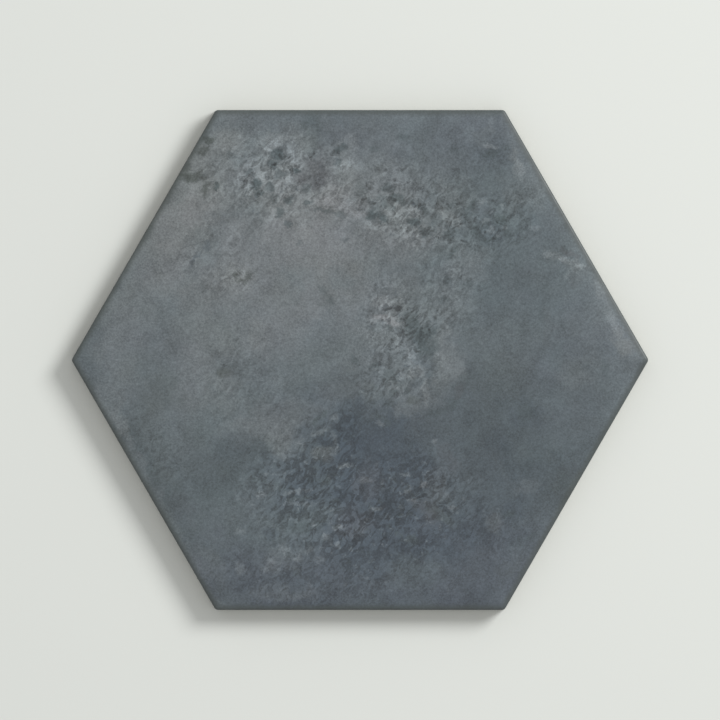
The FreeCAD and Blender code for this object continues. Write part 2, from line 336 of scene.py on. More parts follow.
SPOTS = {
    "umber": (
        (0.8, -53, 77, 2, 1.5, 0), (0.7, -55, 73, 2, 1.6, 40), (0.75, -59, 64, 4.5, 1.5, -10),
        (0.6, -54, 60, 2.8, 1.4, 80), (0.55, -50, 61, 1.5, 1.3, 0), (0.6, -43.3, 29.6, 0.8, 1.8, 25),
        (0.64, -41, 27.6, 1.9, 0.8, 0), (0.56, -38.7, 29.6, 0.8, 1.7, -25), (0.5, -48, -4, 2.6, 1.7, 0),
        (0.3, 28.5, -54.5, 5.5, 1.8, -35), (0.5, -60.5, 67, 1.1, 1.8, -20), (0.35, -10, 52.4, 5, 0.9, -14),
        (0.45, 18.5, -14, 2.4, 1.4, 0),
    ),
    "green": (
        (0.95, -28.5, 72, 2.8, 1.7, -15), (0.8, -30.5, 68.5, 1.6, 2.2, 20), (0.95, -36.5, 61.5, 2.1, 1.7, 40),
        (0.8, -35, 58.5, 2, 1.4, 0), (0.6, -39, 66, 1.8, 1.3, 0), (0.9, -21.8, 66, 1.3, 1.1, 0),
        (0.8, -7, 74, 2.4, 1.7, 20), (0.5, -13, 52.5, 3, 0.9, -12), (0.45, -7.5, 51, 3, 0.9, -6),
        (0.8, -25, 56, 2, 1.5, 0), (0.7, -18.5, 55, 1.7, 1.4, 0), (0.75, -28, 51.5, 1.6, 1.8, 0),
        (0.7, -25.5, 48, 1.2, 1.1, 0), (0.7, -50, 61, 1.1, 1.4, 0), (0.6, -8, 69, 1.6, 1.1, 0),
        (0.45, -21, 41, 1.4, 1.1, 0), (0.4, -5, 42, 1.5, 1, 30), (0.4, -13, 24.5, 2.4, 1, -56),
        (0.4, -10.5, 20.5, 1.8, 1, -50), (0.9, 4.5, 51, 2.6, 1.6, 0), (0.85, 8, 49.5, 2.2, 1.4, -30),
        (0.7, 10, 60, 1.9, 1.4, 0), (0.75, 12, 57, 2.2, 1.5, 0), (0.85, 19, 48, 2.4, 1.6, 0),
        (0.75, 23, 44.5, 2.7, 1.6, -20), (0.7, 31, 44, 2.2, 1.2, 30), (0.65, 33, 38, 2.8, 1.1, 60),
        (0.6, 30, 28, 1.9, 1.2, 20), (0.6, 30, 21, 1.9, 1.2, 0), (0.45, 38, 27, 1.3, 1.1, 0),
        (0.6, 15, 78, 2.4, 1.3, 0), (0.55, 5, 74, 1.8, 1.3, 0), (0.5, 33, 74, 2.2, 1.4, 0),
        (0.65, 46, 72, 3.4, 1.5, 10), (0.45, 51, 74, 1.8, 1.4, 0), (0.75, 39, 53.5, 2.2, 1.1, 50),
        (0.7, 37, 50, 2, 1, 40), (0.85, 49, 49, 2.4, 1.6, 0), (0.75, 41, 45, 1.5, 2.4, 20),
        (0.7, 46, 42, 2.6, 1, 10), (0.6, 52, 44, 1.4, 2, 0), (0.5, 31, 53.5, 2.2, 0.9, 40),
        (0.8, 22, 53, 1.4, 2, 0), (0.6, 72, 38.5, 2, 1.2, -20), (0.4, 18, 12.5, 2.2, 1.8, 0),
        (0.5, 22.5, 8.5, 2.8, 1.7, 30), (0.45, 25, 4, 2, 1.7, 0), (0.6, -1.5, 0, 1.7, 1, -40),
        (0.6, 5.5, -2, 2.6, 0.9, 10), (0.6, 11.5, -11.5, 1.3, 1.1, 0), (0.6, 16.5, -11, 1.1, 1.5, 0),
        (0.5, 10, -15, 1.3, 1.2, 0), (0.65, -12, -42, 2, 1.6, 0), (0.7, -15, -21, 1.9, 0.9, 45),
        (0.6, -12.5, -18.5, 1.6, 0.9, 60), (0.6, 7, -19.5, 2.2, 0.9, 0), (0.5, 9.5, -22, 0.9, 1.6, 0),
        (0.45, 58, -18, 2.6, 3.4, 0), (0.6, 52, -54, 2.2, 1.2, 20), (0.55, 18, -63, 2.2, 1.8, 0),
        (0.5, 60, -62, 2.6, 1, 30), (0.5, 71.5, -42, 1.6, 3, -30), (0.75, -31.5, 60.5, 1.8, 1.8, 0),
        (0.6, -28, 65, 2.4, 1.7, 20), (0.55, 8.5, 55.5, 2.8, 1.8, -50), (0.4, 5.5, 11.6, 3.6, 1.2, 0),
        (0.42, 11, -5.5, 4.2, 1.8, -35), (0.55, 22.3, 6.2, 4.2, 3, -35), (0.62, 35.6, -9, 5, 1.8, 72),
        (0.6, 33, -14.5, 4, 1.6, 48), (0.55, 28, -18, 5, 1.5, 20), (0.5, -21, -48.2, 4.2, 0.9, 0),
        (0.6, -21, -58.3, 6, 2, 0), (0.6, -13.5, -57.8, 2.6, 1.8, 10), (0.45, 25.5, 47, 1.8, 2.4, 0),
        (0.55, 44, 47.5, 1.5, 1.2, 0), (0.6, 47, 50.5, 1.6, 0.9, 30), (0.7, 13.5, 56.5, 3, 1.2, -30),
        (0.6, 18.5, 54.8, 2.6, 1, -10), (0.45, 9.5, 54, 1.6, 1.4, 0), (0.45, 86, -3, 1.5, 2.6, 0),
        (0.55, -19, 60, 1.8, 1.5, 0), (0.4, -30, 56.5, 1.4, 1.8, 20), (0.45, 11, 53.4, 1.7, 1.6, 0),
        (0.5, 26.4, 6, 1.8, 2.6, 0), (0.4, 42.5, 26, 1.6, 1.5, 0),
    ),
    "bright": (
        (0.62, -30, 75.4, 3.6, 1.4, 32), (0.32, -24.3, 71.5, 2.8, 0.9, -50), (0.24, -39.5, 60, 1.2, 2.2, 0),
        (0.2, -34, 64.5, 1.8, 1.1, 0), (0.26, -25, 64, 1.4, 1, 0), (0.26, -4, 69, 2.2, 1.4, 0),
        (0.26, -8, 67, 1.8, 1.3, 0), (0.19, -3, 55, 2.6, 1.4, -20), (0.26, -31, 50, 1.8, 1.2, 30),
        (0.26, -24, 52, 1.7, 1.2, 0), (0.19, -20, 48, 2.6, 1.6, 0), (0.26, -41, 30.6, 1.4, 1, 0),
        (0.34, 4.6, 47, 3.6, 0.9, -27), (0.36, 14.5, 49.5, 2.6, 1.5, 10), (0.34, 17, 52, 1.8, 1.1, 0),
        (0.3, 14, 46.5, 2.2, 1.2, 0), (0.28, 20, 43, 2, 1.1, 0), (0.22, 33, 31, 1.3, 1, 0),
        (0.36, 45.5, 75, 2.6, 0.8, -6), (0.14, 46, 82, 1.2, 2.4, 0), (0.26, 56.5, 67, 3.4, 1, -80),
        (0.26, 46, 45.5, 1.4, 1, 0), (0.22, 44, 49, 1.2, 1, 0), (0.22, 61, 46, 1.8, 1.2, 0),
        (0.3, 66, 37, 1.6, 1, -30), (0.34, 72, 35, 1.6, 1, -40), (0.34, 77, 33, 2.6, 0.8, -14),
        (0.2, 73, 30, 1.8, 0.8, 40), (0.3, 84.5, 25.5, 1.1, 2.6, 30), (0.26, 88.5, 13, 1.1, 2.8, 20),
        (0.28, 12.8, 6, 1.2, 2, 0), (0.34, 17.5, 2, 2.8, 0.9, -42), (0.18, 15, -5, 1.4, 1.1, 0),
        (0.22, 18, -1, 1.2, 0.9, 0), (0.22, -35, -47, 1.7, 1.1, 0), (0.22, -22, -46, 4.5, 0.7, 5),
        (0.22, -9, -20, 1.6, 0.9, 50), (0.18, -42, -60, 2.2, 1.3, 0), (0.2, -42, -73, 1.5, 2.2, 0),
        (0.15, -27, -66, 1.8, 1.3, 0), (0.16, -31, -71, 1.6, 1.2, 0), (0.15, -14, -70, 1.5, 1.2, 0),
        (0.36, -7.7, -58.8, 1.3, 0.9, 0), (0.26, -12, -62, 1.6, 1.1, 30), (0.26, -8, -65, 1.3, 1, 0),
        (0.22, 7, -22, 1.3, 1, 0), (0.34, -5.5, -37, 1.9, 0.8, 0), (0.22, 16, -40, 1.5, 0.8, 0),
        (0.22, 17, -45.5, 1.5, 0.8, 20), (0.24, 26, -28.5, 1.2, 1.2, 0), (0.24, 5.5, -52, 1.6, 0.8, 0),
        (0.34, 12.8, 5.5, 1.5, 3, 0), (0.18, -20.5, -50.4, 5, 0.7, -3), (0.26, 48, 44, 1.1, 0.9, 0),
        (0.24, 51, 46.5, 0.9, 1.3, 0), (0.22, 43, 55.5, 1.5, 0.9, 0), (0.22, -25.5, -66.5, 1.6, 1, 20),
        (0.2, -22, -69.5, 1.7, 0.9, 30), (0.18, -33, -73, 1.3, 1, 0), (0.2, -18, -66.5, 2, 0.8, 25),
        (0.26, -21.5, 69, 2.4, 1.5, -20), (0.2, -14, -25, 4, 0.8, 25), (0.18, -9, -27.5, 1, 2.4, 20),
    ),
    "navy": (
        (0.4, -54, 40, 1.8, 1.2, 50), (0.45, -58, 35, 3, 0.8, 48), (0.5, 11, -69, 2.2, 1.8, 0),
        (0.4, -31, -61, 2.8, 2.2, 0), (0.5, -12.5, -58.5, 1.6, 1.3, 0), (0.45, -12.5, -28.5, 2.2, 1.6, 0),
    ),
    "soot": (
        (0.85, 9.5, 18.5, 2.4, 0.9, 0), (0.7, 13, 18.2, 1.7, 0.8, -20), (0.55, 16, 20.6, 0.9, 1.6, -10),
        (0.55, -7, -60.6, 1.4, 0.8, 0), (0.55, 4, -53, 0.8, 1.6, 0), (0.5, 8.5, -51.5, 1.4, 0.8, 30),
    ),
    "rose": (
        (0.55, 7.5, 15, 3.6, 1.1, 0), (0.65, 12, 13.2, 2.4, 1.2, -25), (0.34, 22.5, -44, 1.6, 0.9, 0),
        (0.2, 2, -42, 2.6, 1, 0), (0.22, 19, -49, 1.4, 1, 20), (0.22, 32, -51.5, 1.5, 1.1, -15),
    ),
    "teal": (
        (0.7, -28, -44.5, 1.9, 0.9, -30),
    ),
    "pale": (
        (0.34, 31, 50, 5, 2, -35), (0.34, 7.5, 20.5, 3.4, 2.2, 0), (0.4, 19.6, -4.5, 3.2, 2.4, 20),
        (0.3, 23, -11, 1.1, 5, 5), (0.18, 47, -57, 2.6, 3.6, 0), (0.24, 11.5, 15.2, 3.4, 1.2, -10),
    ),
    "plum": (
        (0.5, 73, 37.5, 3, 1, -20), (0.4, 35, -10.5, 1.6, 3, -15),
    ),
}
# Where the face is swirled and strewn with grains, and where it is curdled, placed in the same way.
SWIRLED = (
    (0.9, -16, -45, 22, 22, 10), (0.9, 4, -57, 32, 14, 0), (0.75, 22, -47, 18, 14, 0), (0.55, -10, -27, 16, 12, 0),
    (0.55, -10, -75, 40, 10, 0), (0.6, -30, 64, 26, 16, 0), (0.62, 20, 52, 28, 14, -10), (0.85, 15, 12, 12, 14, 0),
    (0.75, 14, -6, 14, 12, 0), (0.4, 44, -57, 18, 12, 0), (0.3, -44, -8, 14, 14, 0), (0.35, -48, 34, 14, 12, 0),
    (0.45, 32, 28, 9, 14, 0), (0.3, -76, -32, 5, 16, 30), (0.6, 48, 48, 12, 9, 0), (0.45, -30, -70, 16, 8, 0),
)
CURDLED = (
    (1, -31, 66, 20, 13, 0), (0.75, -10, 70, 12, 9, 0), (0.9, 14, 56, 18, 15, -10), (1, 32, 46, 20, 10, -10),
    (0.6, 42, 72, 12, 9, 0), (0.8, 10, 4, 11, 14, 0), (0.55, -55, 68, 9, 10, 0), (0.3, -53, 40, 10, 12, 0),
    (0.6, 74, 33, 8, 4, -14), (0.25, -34, -45, 14, 12, 0), (0.45, 12, -46, 16, 12, 0), (0.85, 48, 47, 9, 7, 0),
    (0.4, -26, -68, 12, 7, 0), (0.45, 36, 30, 9, 12, 0),
)

# The grains: their colour, cells to the metre, the share of cells that hold one, their largest radius in cells, and
# how strong they are in the swirled regions, and outside them as a share of that.
GRAINS = (
    ("green", 430.0, 0.50, 0.75, 0.70, 0.04),
    ("bright", 560.0, 0.34, 0.62, 0.28, 0.05),
    ("navy", 800.0, 0.34, 0.75, 0.66, 0.10),
    ("bright", 900.0, 0.26, 0.65, 0.32, 0.10),
)
# Heights above the back between which the finish changes: from a thinner, darker coat on the arris (part thin
# glaze, part painted shade) to a full one above it, from the bare body to the glaze on the sides, and from the
# cells to the ribs of the back.
ARRIS_COAT_AND_SHADE = (8.1 * MM, 8.5 * MM)
GLAZE_END = (5.8 * MM, 6.6 * MM)
RIB_TIPS = (0.3 * MM, 0.1 * MM)


def select_only(thing):
    """Makes one object the only selected and the active one."""
    bpy.ops.object.select_all(action="DESELECT")
    thing.select_set(True)
    bpy.context.view_layer.objects.active = thing


def corner_distance(apothem):
    """How far a hexagon's corners are from its middle, from the distance of its sides."""
    return apothem / math.cos(math.radians(30))


def edge_profile(sizes):
    """Points down one side of the tile, from the top of the cushion to the back: distance out and height."""
    side = sizes.across_flats / 2
    start = side - sizes.cushion_width
    radius = (sizes.cushion_width ** 2 + sizes.cushion_fall ** 2) / (2 * sizes.cushion_fall)
    centre_height = sizes.thickness - radius
    arris_out = side - sizes.arris_radius
    arris_height = centre_height + math.sqrt((radius - sizes.arris_radius) ** 2 - (arris_out - start) ** 2)
    meeting = math.atan2(arris_height - centre_height, arris_out - start)
    points = []
    cushion_steps = 9
    for step in range(1, cushion_steps + 1):
        angle = math.pi / 2 + (meeting - math.pi / 2) * step / cushion_steps
        points.append((start + radius * math.cos(angle), centre_height + radius * math.sin(angle)))
    arris_steps = 5
    for step in range(1, arris_steps + 1):
        angle = meeting * (1 - step / arris_steps)
        points.append((
            arris_out + sizes.arris_radius * math.cos(angle),
            arris_height + sizes.arris_radius * math.sin(angle),
        ))
    side_steps = 4
    for step in range(1, side_steps + 1):
        points.append((side, arris_height + (sizes.back_chamfer - arris_height) * step / side_steps))
    points.append((side - sizes.back_chamfer, 0))
    return start, points


def select_where(mesh_object, wanted):
    """In edit mode, selects the vertices that pass a test of their place, and what lies between them."""
    bpy.ops.mesh.select_mode(type="VERT")
    bpy.ops.mesh.select_all(action="DESELECT")
    bpy.ops.object.mode_set(mode="OBJECT")
    for vertex in mesh_object.data.vertices:
        vertex.select = wanted(vertex.co)
    bpy.ops.object.mode_set(mode="EDIT")


def press_face_and_sides(sizes):
    """The face as a fine grid in a hexagon, with its outline extruded over the cushion and down the sides."""
    start, profile = edge_profile(sizes)
    bpy.ops.object.select_all(action="DESELECT")
    bpy.ops.mesh.primitive_circle_add(
        vertices=6, radius=corner_distance(start), fill_type="TRIFAN",
        location=(0, 0, sizes.thickness), rotation=(0, 0, math.radians(30)),
    )
    tile = bpy.context.active_object
    tile.name = "glazed_tile"
    bpy.ops.object.transform_apply(location=True, rotation=True, scale=True)
    bpy.ops.object.mode_set(mode="EDIT")
    bpy.ops.mesh.select_all(action="SELECT")
    bpy.ops.mesh.subdivide(number_cuts=sizes.face_bands - 1)
    bpy.ops.mesh.subdivide(number_cuts=sizes.band_rows - 1)
    bpy.ops.mesh.region_to_loop()
    apothem, height = start, sizes.thickness
    for next_apothem, next_height in profile:
        bpy.ops.mesh.extrude_region_move(
            TRANSFORM_OT_translate={"value": (0, 0, next_height - height)}
        )
        grow = next_apothem / apothem
        bpy.ops.transform.resize(value=(grow, grow, 1), center_override=(0, 0, 0))
        apothem, height = next_apothem, next_height
    bpy.ops.object.mode_set(mode="OBJECT")
    return tile


def round_corners(tile, sizes):
    """Bevels the six upright corners from the arris to the back."""
    top = sizes.thickness - sizes.cushion_fall * 0.75
    slack = 0.0005

    def on_corner(place):
        sixths = math.degrees(math.atan2(place.y, place.x)) / 60
        return abs(sixths - round(sixths)) < slack and place.z < top and place.length > sizes.across_flats / 2

    bpy.ops.object.mode_set(mode="EDIT")
    select_where(tile, on_corner)
    bpy.ops.mesh.select_mode(type="EDGE")
    bpy.ops.mesh.bevel(
        offset=sizes.corner_radius * math.tan(math.radians(30)), segments=4, profile=0.5, clamp_overlap=True,
    )
    bpy.ops.object.mode_set(mode="OBJECT")


def press_cell(sizes):
    """One cell of the back: a drafted recess with rounded corners in half the width of the ribs."""
    pitch = sizes.cell_width + sizes.rib_width
    bpy.ops.object.select_all(action="DESELECT")
    bpy.ops.mesh.primitive_circle_add(
        vertices=6, radius=corner_distance(sizes.cell_width / 2), fill_type="NOTHING", location=(0, 0, 0),
    )
    cell = bpy.context.active_object
    cell.name = "back_cell"
    bpy.ops.object.mode_set(mode="EDIT")
    bpy.ops.mesh.select_all(action="SELECT")
    bpy.ops.mesh.bevel(
        affect="VERTICES", offset=sizes.cell_corner_radius * math.tan(math.radians(30)),
        segments=3, profile=0.5,
    )
    bpy.ops.mesh.select_all(action="SELECT")
    bpy.ops.mesh.extrude_region_move(TRANSFORM_OT_translate={"value": (0, 0, sizes.recess_depth)})
    narrow = 1 - sizes.recess_depth * math.tan(sizes.recess_draft) / (sizes.cell_width / 2)
    bpy.ops.transform.resize(value=(narrow, narrow, 1), center_override=(0, 0, 0))
    bpy.ops.mesh.edge_face_add()
    bpy.ops.mesh.select_all(action="DESELECT")
    bpy.ops.mesh.primitive_circle_add(
        vertices=6, radius=corner_distance(pitch / 2), fill_type="NOTHING", location=(0, 0, 0),
    )
    select_where(cell, lambda place: place.z < sizes.recess_depth / 2)
    bpy.ops.mesh.select_mode(type="EDGE")
    bpy.ops.mesh.fill(use_beauty=True)
    bpy.ops.object.mode_set(mode="OBJECT")
    return cell


def press_back(sizes):
    """The honeycomb of the back: one cell copied to every place of the lattice that the border leaves."""
    pitch = sizes.cell_width + sizes.rib_width
    row = pitch * math.sin(math.radians(60))
    room = (
        sizes.across_flats / 2 - sizes.back_chamfer - sizes.border_width
        - corner_distance(sizes.cell_width / 2)
    )
    rings = math.floor(room / row)
    cell = press_cell(sizes)
    cells = [cell]
    for across in range(-rings, rings + 1):
        for up in range(-rings, rings + 1):
            if (across, up) == (0, 0) or abs(across + up) > rings:
                continue
            select_only(cell)
            bpy.ops.object.duplicate(linked=False)
            copy = bpy.context.active_object
            bpy.ops.transform.translate(value=(pitch * (across + up / 2), row * up, 0))
            cells.append(copy)
    bpy.ops.object.select_all(action="DESELECT")
    for part in cells:
        part.select_set(True)
    bpy.context.view_layer.objects.active = cell
    bpy.ops.object.join()
    bpy.ops.object.transform_apply(location=True, rotation=True, scale=True)
    bpy.ops.object.mode_set(mode="EDIT")
    bpy.ops.mesh.select_all(action="SELECT")
    bpy.ops.mesh.remove_doubles(threshold=0.01 * MM)
    bpy.ops.object.mode_set(mode="OBJECT")
    return cell


def close_back(tile, back):
    """Joins the honeycomb to the sides and fills the border between them."""
    select_only(tile)
    back.select_set(True)
    bpy.ops.object.join()
    bpy.ops.object.mode_set(mode="EDIT")
    bpy.ops.mesh.select_mode(type="EDGE")
    bpy.ops.mesh.select_all(action="DESELECT")
    bpy.ops.mesh.select_non_manifold(
        use_wire=False, use_boundary=True, use_multi_face=False, use_non_contiguous=False, use_verts=False,
    )
    bpy.ops.mesh.fill(use_beauty=True)
    bpy.ops.mesh.select_all(action="SELECT")
    bpy.ops.mesh.normals_make_consistent(inside=False)
    bpy.ops.object.mode_set(mode="OBJECT")


def feed(tree, socket, value):
    """Links a socket to another one, or sets a plain value on it."""
    if isinstance(value, bpy.types.NodeSocket):
        tree.links.new(value, socket)
    else:
        socket.default_value = value


def new_tree_node(tree, kind, spot, label="", **settings):
    """A node at a spot of a tree's sheet, with its settings and what feeds its inputs: sockets or plain values."""
    node = tree.nodes.new(kind)
    node.location = spot
    node.label = label
    inputs = settings.pop("inputs", {})
    for name, value in settings.items():
        setattr(node, name, value)
    for name, value in inputs.items():
        feed(tree, node.inputs[name], value)
    return node


def noise_node(tree, spot, place, label, scale, detail, roughness, distortion=0.0):
    """A cloud noise drawn at a place."""
    return new_tree_node(tree, "ShaderNodeTexNoise", spot, label, inputs={
        "Vector": place, "Scale": scale, "Detail": detail, "Roughness": roughness, "Distortion": distortion,
    })


def levels(tree, spot, value, label="", low=0.0, high=1.0, at_low=0.0, at_high=1.0, soft=False, clamp=True):
    """Carries a value from one range to another, straight or with soft ends, which need no clamp."""
    node = new_tree_node(
        tree, "ShaderNodeMapRange", spot, label,
        interpolation_type="SMOOTHSTEP" if soft else "LINEAR", clamp=clamp and not soft,
        inputs={"Value": value, "From Min": low, "From Max": high, "To Min": at_low, "To Max": at_high},
    )
    return node.outputs["Result"]


def reckon(tree, spot, operation, *values, label=""):
    """Works out a number from others."""
    node = new_tree_node(
        tree, "ShaderNodeMath", spot, label, operation=operation, inputs=dict(enumerate(values)),
    )
    return node.outputs[0]


def reckon_vector(tree, spot, operation, *values, label=""):
    """Works out a place or a colour from others. A scaled one has its scale last."""
    inputs = dict(enumerate(values))
    if operation == "SCALE":
        inputs["Scale"] = inputs.pop(1)
    return new_tree_node(tree, "ShaderNodeVectorMath", spot, label, operation=operation, inputs=inputs).outputs[0]


def height_of(tree, spot, place):
    """The height of a place above the back."""
    return new_tree_node(tree, "ShaderNodeSeparateXYZ", spot, inputs={0: place}).outputs["Z"]


def relief_tree():
    """A modifier that lets the face sink in slow waves and shallow dimples, and leaves the sides alone."""
    tree = bpy.data.node_groups.new("FaceRelief", "GeometryNodeTree")
    tree.interface.new_socket("Geometry", in_out="INPUT", socket_type="NodeSocketGeometry")
    for name in ("Thickness", "Reach", "Wave Depth", "Dimple Depth"):
        tree.interface.new_socket(name, in_out="INPUT", socket_type="NodeSocketFloat")
    tree.interface.new_socket("Geometry", in_out="OUTPUT", socket_type="NodeSocketGeometry")
    start = new_tree_node(tree, "NodeGroupInput", (-900, 0)).outputs
    place = new_tree_node(tree, "GeometryNodeInputPosition", (-900, -300)).outputs["Position"]
    waves = noise_node(tree, (-600, -200), place, "Slow waves", 28.0, 2.0, 0.5)
    dimples = noise_node(tree, (-600, -500), place, "Dimples", 190.0, 2.0, 0.55)
    hollows = levels(tree, (-400, -500), dimples.outputs["Fac"], "Only the lows", 0.44, 0.30, soft=True)
    height = height_of(tree, (-600, -800), place)
    depth = reckon(tree, (-400, -800), "SUBTRACT", start["Thickness"], height, label="Depth below the face")
    near_top = levels(tree, (-200, -800), depth, "Fade over the cushion", start["Reach"], 0.0)
    wave_drop = reckon(tree, (-200, -200), "MULTIPLY", waves.outputs["Fac"], start["Wave Depth"])
    dimple_drop = reckon(tree, (-200, -500), "MULTIPLY", hollows, start["Dimple Depth"])
    drop = reckon(tree, (0, -300), "ADD", wave_drop, dimple_drop)
    faded = reckon(tree, (200, -300), "MULTIPLY", drop, near_top)
    down = reckon(tree, (400, -300), "MULTIPLY", faded, -1.0)
    offset = new_tree_node(tree, "ShaderNodeCombineXYZ", (550, -300), inputs={"Z": down})
    move = new_tree_node(
        tree, "GeometryNodeSetPosition", (700, 0),
        inputs={"Geometry": start["Geometry"], "Offset": offset.outputs["Vector"]},
    )
    new_tree_node(tree, "NodeGroupOutput", (900, 0), inputs={"Geometry": move.outputs["Geometry"]})
    return tree


def press_relief(tile, sizes):
    """Applies the face's waves and dimples to the mesh."""
    select_only(tile)
    modifier = tile.modifiers.new("FaceRelief", "NODES")
    modifier.node_group = relief_tree()
    values = {
        "Thickness": sizes.thickness, "Reach": sizes.cushion_fall,
        "Wave Depth": sizes.wave_depth, "Dimple Depth": sizes.dimple_depth,
    }
    for socket in modifier.node_group.interface.items_tree:
        if socket.in_out == "INPUT" and socket.name in values:
            modifier[socket.identifier] = values[socket.name]
    bpy.ops.object.modifier_apply(modifier=modifier.name)


def group_tree(name, ins, out):
    """An empty shader node group with its named sockets, the places of which end in Place."""
    tree = bpy.data.node_groups.new(name, "ShaderNodeTree")
    for label in ins:
        kind = "NodeSocketVector" if label.endswith("Place") else "NodeSocketFloat"
        tree.interface.new_socket(label, in_out="INPUT", socket_type=kind)
    kind = "NodeSocketVector" if out.endswith("Place") else "NodeSocketFloat"
    tree.interface.new_socket(out, in_out="OUTPUT", socket_type=kind)
    return tree, new_tree_node(tree, "NodeGroupInput", (-1000, 0)).outputs


def end_group(tree, value):
    """Sends a value out of a group."""
    new_tree_node(tree, "NodeGroupOutput", (1000, 0), inputs={0: value})
    return tree


def put_group(tree, group, spot, **values):
    """Puts a node group into a tree, with what feeds its inputs, and returns what it gives."""
    inputs = {name.replace("_", " ").title(): value for name, value in values.items()}
    return new_tree_node(tree, "ShaderNodeGroup", spot, node_tree=group, inputs=inputs).outputs[0]


def stain_group():
    """A soft-edged stain from the nearness to its middle, added to the mask of the stains before it."""
    tree, start = group_tree("SoftStain", ("Nearness", "Before", "Fade", "Strength"), "Mask")
    fade = levels(tree, (-300, 0), start["Nearness"], "", 0.0, start["Fade"], 0.0, start["Strength"], soft=True)
    return end_group(tree, reckon(tree, (300, 0), "MAXIMUM", start["Before"], fade, label="The stronger one"))


def wander_group():
    """Shifts places about by a cloud noise, so that what is drawn with them has ragged edges."""
    tree, start = group_tree("Wander", ("Place", "Scale", "Amount"), "Place")
    noise = noise_node(tree, (-700, 0), start["Place"], "", start["Scale"], 3.0, 0.65)
    centred = reckon_vector(tree, (-450, 0), "SUBTRACT", noise.outputs["Color"], (0.5, 0.5, 0.5))
    shift = reckon_vector(tree, (-250, 0), "SCALE", centred, start["Amount"])
    flat = reckon_vector(tree, (-50, 0), "MULTIPLY", shift, (1.0, 1.0, 0.0))
    return end_group(tree, reckon_vector(tree, (150, 0), "ADD", flat, start["Place"]))


def mottle_group():
    """Cloudy unevenness: a tone about 1 in patches, slanting wisps, dark-cored curds, fine swirls and grain."""
    tree, start = group_tree(
        "Mottle", ("Place", "Drawn Place", "Patches", "Wisps", "Curds", "Swirls", "Grain"), "Tone",
    )
    place = start["Place"]
    drawn = new_tree_node(
        tree, "ShaderNodeMapping", (-800, 300), "Along the strokes", vector_type="TEXTURE",
        inputs={"Vector": start["Drawn Place"], "Scale": (4.0, 1.0, 1.0), "Rotation": (0.0, 0.0, math.radians(62))},
    ).outputs[0]
    slanted = new_tree_node(
        tree, "ShaderNodeMapping", (-800, -600), "Slanting swirls", vector_type="TEXTURE",
        inputs={"Vector": place, "Scale": (1.7, 1.0, 1.0), "Rotation": (0.0, 0.0, math.radians(50))},
    ).outputs[0]
    even = ((0.0, 1.0, -0.5, 0.5, False),)
    curds = ((0.47, 0.56, -0.18, 0.42, True), (0.57, 0.66, 0.0, -1.20, True))
    swirls = ((0.42, 0.58, -0.5, 0.5, True),)
    total = 1.0
    for index, (name, where, scale, detail, roughness, distortion, bands) in enumerate((
        ("Patches", place, 95.0, 5.0, 0.56, 0.0, even),
        ("Wisps", drawn, 150.0, 4.0, 0.54, 0.0, even),
        ("Curds", place, 230.0, 2.0, 0.50, 0.6, curds),
        ("Swirls", slanted, 420.0, 1.0, 0.50, 1.2, swirls),
        ("Grain", place, 1500.0, 1.0, 0.80, 0.0, even),
    )):
        row = -300 * index
        noise = noise_node(tree, (-550, row), where, name, scale, detail, roughness, distortion).outputs["Fac"]
        for low, high, at_low, at_high, soft in bands:
            level = levels(tree, (-300, row), noise, "", low, high, at_low, at_high, soft, clamp=False)
            total = reckon(tree, (100, row), "MULTIPLY_ADD", level, start[name], total)
    return end_group(tree, total)


def grains_group():
    """Grains strewn at random: each cell of a pebble pattern holds one or none."""
    tree, start = group_tree("StrewnGrains", ("Place", "Scale", "Share", "Radius"), "Mask")
    cells = new_tree_node(
        tree, "ShaderNodeTexVoronoi", (-700, 0), "One grain a cell",
        inputs={"Vector": start["Place"], "Scale": start["Scale"]},
    )
    chance = new_tree_node(
        tree, "ShaderNodeSeparateColor", (-450, -200), inputs={0: cells.outputs["Color"]},
    ).outputs
    chosen = reckon(tree, (-200, -200), "LESS_THAN", chance["Red"], start["Share"], label="Some cells only")
    size = reckon(tree, (-200, -400), "MULTIPLY", chance["Green"], start["Radius"], label="Uneven sizes")
    fade = levels(tree, (100, 0), cells.outputs["Distance"], "", size, 0.0, soft=True)
    return end_group(tree, reckon(tree, (400, 0), "MULTIPLY", fade, chosen))


def mix_tone(tree, spot, factor, under, over):
    """Mixes a tone over another by a mask. A tone is what a socket gives, or one of the tile's colours."""
    tones = [tone if isinstance(tone, bpy.types.NodeSocket) else (*tone, 1) for tone in (under, over)]
    node = new_tree_node(
        tree, "ShaderNodeMix", spot, data_type="RGBA", inputs={0: factor, 6: tones[0], 7: tones[1]},
    )
    return node.outputs[2]


def stain_mask(tree, stain, stains, place, edge, column, row):
    """How strongly any of a list of stains covers a place. The edge says how much of their half sizes is rim."""
    mask = 0.0
    for index, (strength, x, y, length, width, turn) in enumerate(stains):
        spot = (column + 60 * index, row)
        oval = new_tree_node(
            tree, "ShaderNodeTexGradient", spot, gradient_type="SPHERICAL", inputs={"Vector": place},
        )
        # The oval is a unit ball's fade, moved, turned and stretched by the texture's own mapping.
        oval.texture_mapping.vector_type = "TEXTURE"
        oval.texture_mapping.translation = (x * MM, y * MM, 0.0)
        oval.texture_mapping.rotation = (0.0, 0.0, math.radians(turn))
        oval.texture_mapping.scale = (length * MM * (1 + edge), width * MM * (1 + edge), 1.0)
        mask = put_group(
            tree, stain, (spot[0], row - 250),
            nearness=oval.outputs["Fac"], before=mask, fade=2 * edge / (1 + edge), strength=strength,
        )
    return mask


def spread_stains(tree, stain, stains_by_tone, place, under, colours, edge, row):
    """Lays stains over a colour, tone after tone."""
    column = 0
    for tone, stains in stains_by_tone.items():
        mask = stain_mask(tree, stain, stains, place, edge, column, row - 300)
        column += 60 * len(stains)
        under = mix_tone(tree, (column, row), mask, under, getattr(colours, tone))
    return under


